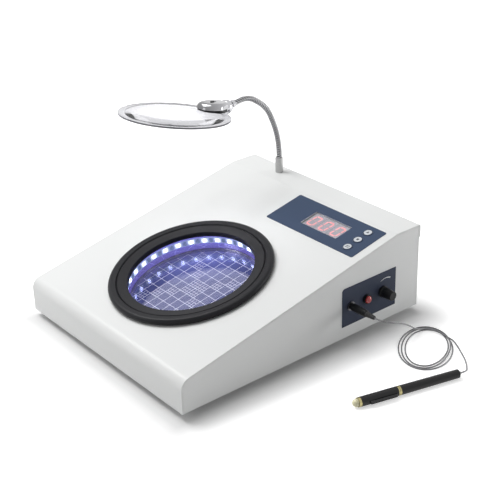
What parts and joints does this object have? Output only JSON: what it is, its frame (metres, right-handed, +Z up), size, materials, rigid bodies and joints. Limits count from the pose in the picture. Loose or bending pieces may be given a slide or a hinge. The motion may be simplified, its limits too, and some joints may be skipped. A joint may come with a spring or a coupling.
{
  "type": "colony counter",
  "caption": "Bench colony counter: sloping steel case with a lit round dish station, digital display, lens on a flexible neck and a wired counting pen.",
  "frame": {"origin": "the middle foot's underside, on the bench under the centre of the case's footprint", "axes": "+X to the user's right, +Y to the back, +Z up"},
  "size_m": [0.4379, 0.353, 0.2421],
  "materials": {
    "case_paint": "light grey powder coat, fine texture",
    "bezel_black": "satin black moulding",
    "station_glass": "clear plate over a printed grid",
    "rubber_black": "matt",
    "chamber_white": "white gloss paint",
    "strip_white": "flexible strip",
    "led_white": "lit",
    "backdrop_blue": "polished",
    "overlay_slate": "satin membrane",
    "overlay_navy": "satin membrane",
    "window_smoke": "smoked acrylic",
    "digit_red": "lit segments",
    "key_grey": "satin",
    "board_green": "solder resist",
    "steel": "zinc plated",
    "post_satin": "satin chrome",
    "neck_chrome": "bright chrome",
    "head_chrome": "bright chrome",
    "plastic_black": "fine texture",
    "lens_clear": "clear acrylic",
    "core_iron": "varnished laminations",
    "reset_red": "gloss",
    "contact_metal": "plated",
    "pen_black": "satin lacquer",
    "pen_gold": "polished",
    "tip_ivory": "satin",
    "cord_grey": "smooth jacket"
  },
  "bodies": {
    "case": {"top_cover": "case_paint", "left_side_panel": "case_paint", "right_side_panel": "case_paint", "rear_panel": "case_paint", "base_plate": "case_paint", "rubber_feet": "rubber_black", "glass_gasket": "rubber_black", "base_screws": "steel", "rear_screws": "steel", "station_screws": "steel", "board_standoffs": "steel", "panel_nuts": "steel", "bezel_ring": "bezel_black", "glass_plate": "station_glass", "light_chamber": "chamber_white", "led_strip": "strip_white", "strip_leds": "led_white", "backdrop_disc": "backdrop_blue", "display_overlay": "overlay_slate", "side_overlay": "overlay_navy", "display_window": "window_smoke", "digit_displays": "digit_red", "display_board": "board_green", "supply_board": "board_green", "transformer": "core_iron", "jack_socket": "plastic_black", "button_housing": "plastic_black", "potentiometer": "plastic_black", "power_inlet": "plastic_black", "rocker_frame": "plastic_black", "inlet_pins": "contact_metal"},
    "magnifier_post": {"neck_post": "post_satin", "post_nut": "steel"},
    "neck_lower": {"neck_lower": "neck_chrome"},
    "neck_middle": {"neck_middle": "neck_chrome"},
    "neck_upper": {"neck_upper": "neck_chrome"},
    "magnifier_head": {"neck_tip": "head_chrome", "head_upper_shell": "head_chrome", "head_lower_shell": "plastic_black", "lens": "lens_clear"},
    "lamp_switch": {"lamp_switch": "plastic_black"},
    "brightness_knob": {"pot_shaft": "steel", "brightness_knob": "plastic_black"},
    "reset_button": {"reset_cap": "reset_red"},
    "upper_key": {"upper_key": "key_grey"},
    "middle_key": {"middle_key": "key_grey"},
    "lower_key": {"lower_key": "key_grey"},
    "power_rocker": {"rocker_paddle": "plastic_black"},
    "pen_lead": {"plug_contacts": "contact_metal", "plug_handle": "plastic_black", "plug_boot": "rubber_black", "pen_cord_lead": "cord_grey", "pen_cord_coil": "cord_grey", "pen_cord_tail": "cord_grey", "pen_rear_barrel": "pen_black", "pen_front_barrel": "pen_black", "pen_rings": "pen_gold", "pen_clip": "pen_black", "pen_end_bush": "cord_grey"},
    "pen_tip": {"pen_tip": "tip_ivory"}
  },
  "joints": [
    {"name": "neck_swing", "type": "hinge", "parent": "case", "child": "magnifier_post", "pos_m": [-0.0815, 0.158, 0.113], "axis": [0, 0, 1], "range_deg": [-60, 60]},
    {"name": "neck_lower_bend", "type": "hinge", "parent": "magnifier_post", "child": "neck_lower", "pos_m": [-0.0815, 0.158, 0.133], "axis": [1, 0, 0], "range_deg": [-20, 8]},
    {"name": "neck_middle_bend", "type": "hinge", "parent": "neck_lower", "child": "neck_middle", "pos_m": [-0.0815, 0.14633, 0.18869], "axis": [1, 0, 0], "range_deg": [-20, 8]},
    {"name": "neck_upper_bend", "type": "hinge", "parent": "neck_middle", "child": "neck_upper", "pos_m": [-0.0815, 0.12387, 0.21639], "axis": [1, 0, 0], "range_deg": [-20, 10]},
    {"name": "head_bend", "type": "hinge", "parent": "neck_upper", "child": "magnifier_head", "pos_m": [-0.0815, 0.09188, 0.22382], "axis": [1, 0, 0], "range_deg": [-22, 13]},
    {"name": "lamp_switch_slide", "type": "slide", "parent": "magnifier_head", "child": "lamp_switch", "axis": [0.0068, 0.9857, -0.1682], "range_m": [0, 0.003]},
    {"name": "brightness_turn", "type": "hinge", "parent": "case", "child": "brightness_knob", "pos_m": [0.15, 0.114, 0.0472], "axis": [1, 0, 0], "range_deg": [-140, 140]},
    {"name": "reset_press", "type": "slide", "parent": "case", "child": "reset_button", "axis": [-1, 0, 0], "range_m": [0, 0.002], "stiffness_N_per_m": 400, "springref_m": -0.002},
    {"name": "upper_key_press", "type": "slide", "parent": "case", "child": "upper_key", "axis": [0, 0.2085, -0.978], "range_m": [0, 0.0005], "stiffness_N_per_m": 1500, "springref_m": -0.0007},
    {"name": "middle_key_press", "type": "slide", "parent": "case", "child": "middle_key", "axis": [0, 0.2085, -0.978], "range_m": [0, 0.0005], "stiffness_N_per_m": 1500, "springref_m": -0.0007},
    {"name": "lower_key_press", "type": "slide", "parent": "case", "child": "lower_key", "axis": [0, 0.2085, -0.978], "range_m": [0, 0.0005], "stiffness_N_per_m": 1500, "springref_m": -0.0007},
    {"name": "power_rocker_tip", "type": "hinge", "parent": "case", "child": "power_rocker", "pos_m": [0.112, 0.1722, 0.042], "axis": [1, 0, 0], "range_deg": [-14, 0]},
    {"name": "jack_unplug", "type": "slide", "parent": "case", "child": "pen_lead", "axis": [1, 0, 0], "range_m": [0, 0.03]},
    {"name": "pen_tip_press", "type": "slide", "parent": "pen_lead", "child": "pen_tip", "axis": [0.261, 0.9653, 0], "range_m": [0, 0.0015], "stiffness_N_per_m": 300, "springref_m": -0.0015}
  ]
}
